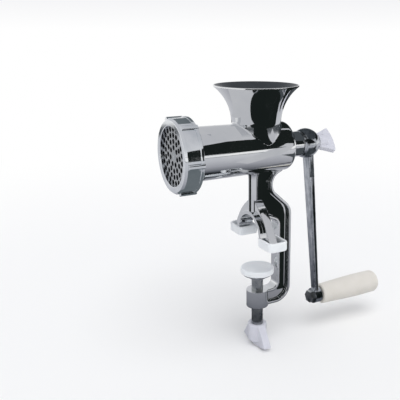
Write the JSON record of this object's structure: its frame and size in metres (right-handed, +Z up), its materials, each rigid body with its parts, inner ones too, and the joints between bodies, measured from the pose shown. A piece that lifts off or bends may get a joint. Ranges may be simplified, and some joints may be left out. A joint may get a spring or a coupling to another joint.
{
  "type": "hand crank meat grinder",
  "caption": "Table-clamped meat grinder: polished casting with a flared hopper, auger barrel, perforated plate under a ribbed ring nut, and a long crank with a turning grip.",
  "frame": {"origin": "on the table top, midway between the two feet, on the axis of the clamp screw", "axes": "+Z up, -Y towards the outlet, +Y towards the crank, +X across the stand"},
  "size_m": [0.087, 0.2512, 0.2763],
  "materials": {
    "polished_casting": "mirror polished",
    "ring_casting": "polished, a little satin",
    "crank_casting": "polished, a little satin",
    "auger_casting": "as cast, tumbled",
    "cutting_steel": "ground",
    "plain_steel": "zinc plated",
    "clear_pad": "milky, soft",
    "white_plastic": "moulded, semi-gloss",
    "grip_plastic": "moulded, satin",
    "nylon": "turned"
  },
  "bodies": {
    "housing": {"housing": "polished_casting", "foot_pad_left": "clear_pad", "foot_pad_right": "clear_pad", "cutting_plate": "cutting_steel", "plate_key": "plain_steel", "thrust_washer": "nylon"},
    "ring_nut": {"ring_nut": "ring_casting"},
    "crank": {"auger": "auger_casting", "auger_stud": "plain_steel", "knife": "cutting_steel", "crank_arm": "crank_casting", "hub_washer": "plain_steel", "grip_spindle": "plain_steel", "grip_washer": "plain_steel", "grip_end_washer": "plain_steel", "spindle_nut": "plain_steel"},
    "lock_knob": {"lock_knob": "white_plastic", "lock_stud": "plain_steel"},
    "grip": {"grip": "grip_plastic"},
    "clamp_pad": {"clamp_disc": "crank_casting", "clamp_disc_pad": "clear_pad"},
    "clamp_screw": {"clamp_screw": "plain_steel", "clamp_knob": "white_plastic", "clamp_clip": "plain_steel"}
  },
  "joints": [
    {"name": "crank_turn", "type": "hinge", "parent": "housing", "child": "crank", "pos_m": [0, 0.04, 0.096], "axis": [0, 1, 0], "continuous": true},
    {"name": "grip_spin", "type": "hinge", "parent": "crank", "child": "grip", "pos_m": [0, 0.12, -0.079], "axis": [0, 1, 0], "continuous": true},
    {"name": "lock_knob_turn", "type": "hinge", "parent": "crank", "child": "lock_knob", "pos_m": [0, 0.08, 0.096], "axis": [0, 1, 0], "continuous": true},
    {"name": "ring_nut_turn", "type": "hinge", "parent": "housing", "child": "ring_nut", "pos_m": [0, -0.083, 0.096], "axis": [0, 1, 0], "continuous": true},
    {"name": "clamp_travel", "type": "slide", "parent": "housing", "child": "clamp_pad", "axis": [0, 0, 1], "range_m": [-0.013, 0.02]},
    {"name": "clamp_screw_turn", "type": "hinge", "parent": "clamp_pad", "child": "clamp_screw", "pos_m": [0, 0, -0.06], "axis": [0, 0, 1], "range_deg": [-2376, 3636]}
  ],
  "couplings": [
    {"joint": "clamp_screw_turn", "follows": "clamp_travel", "rad_per_m": 3141.6}
  ]
}
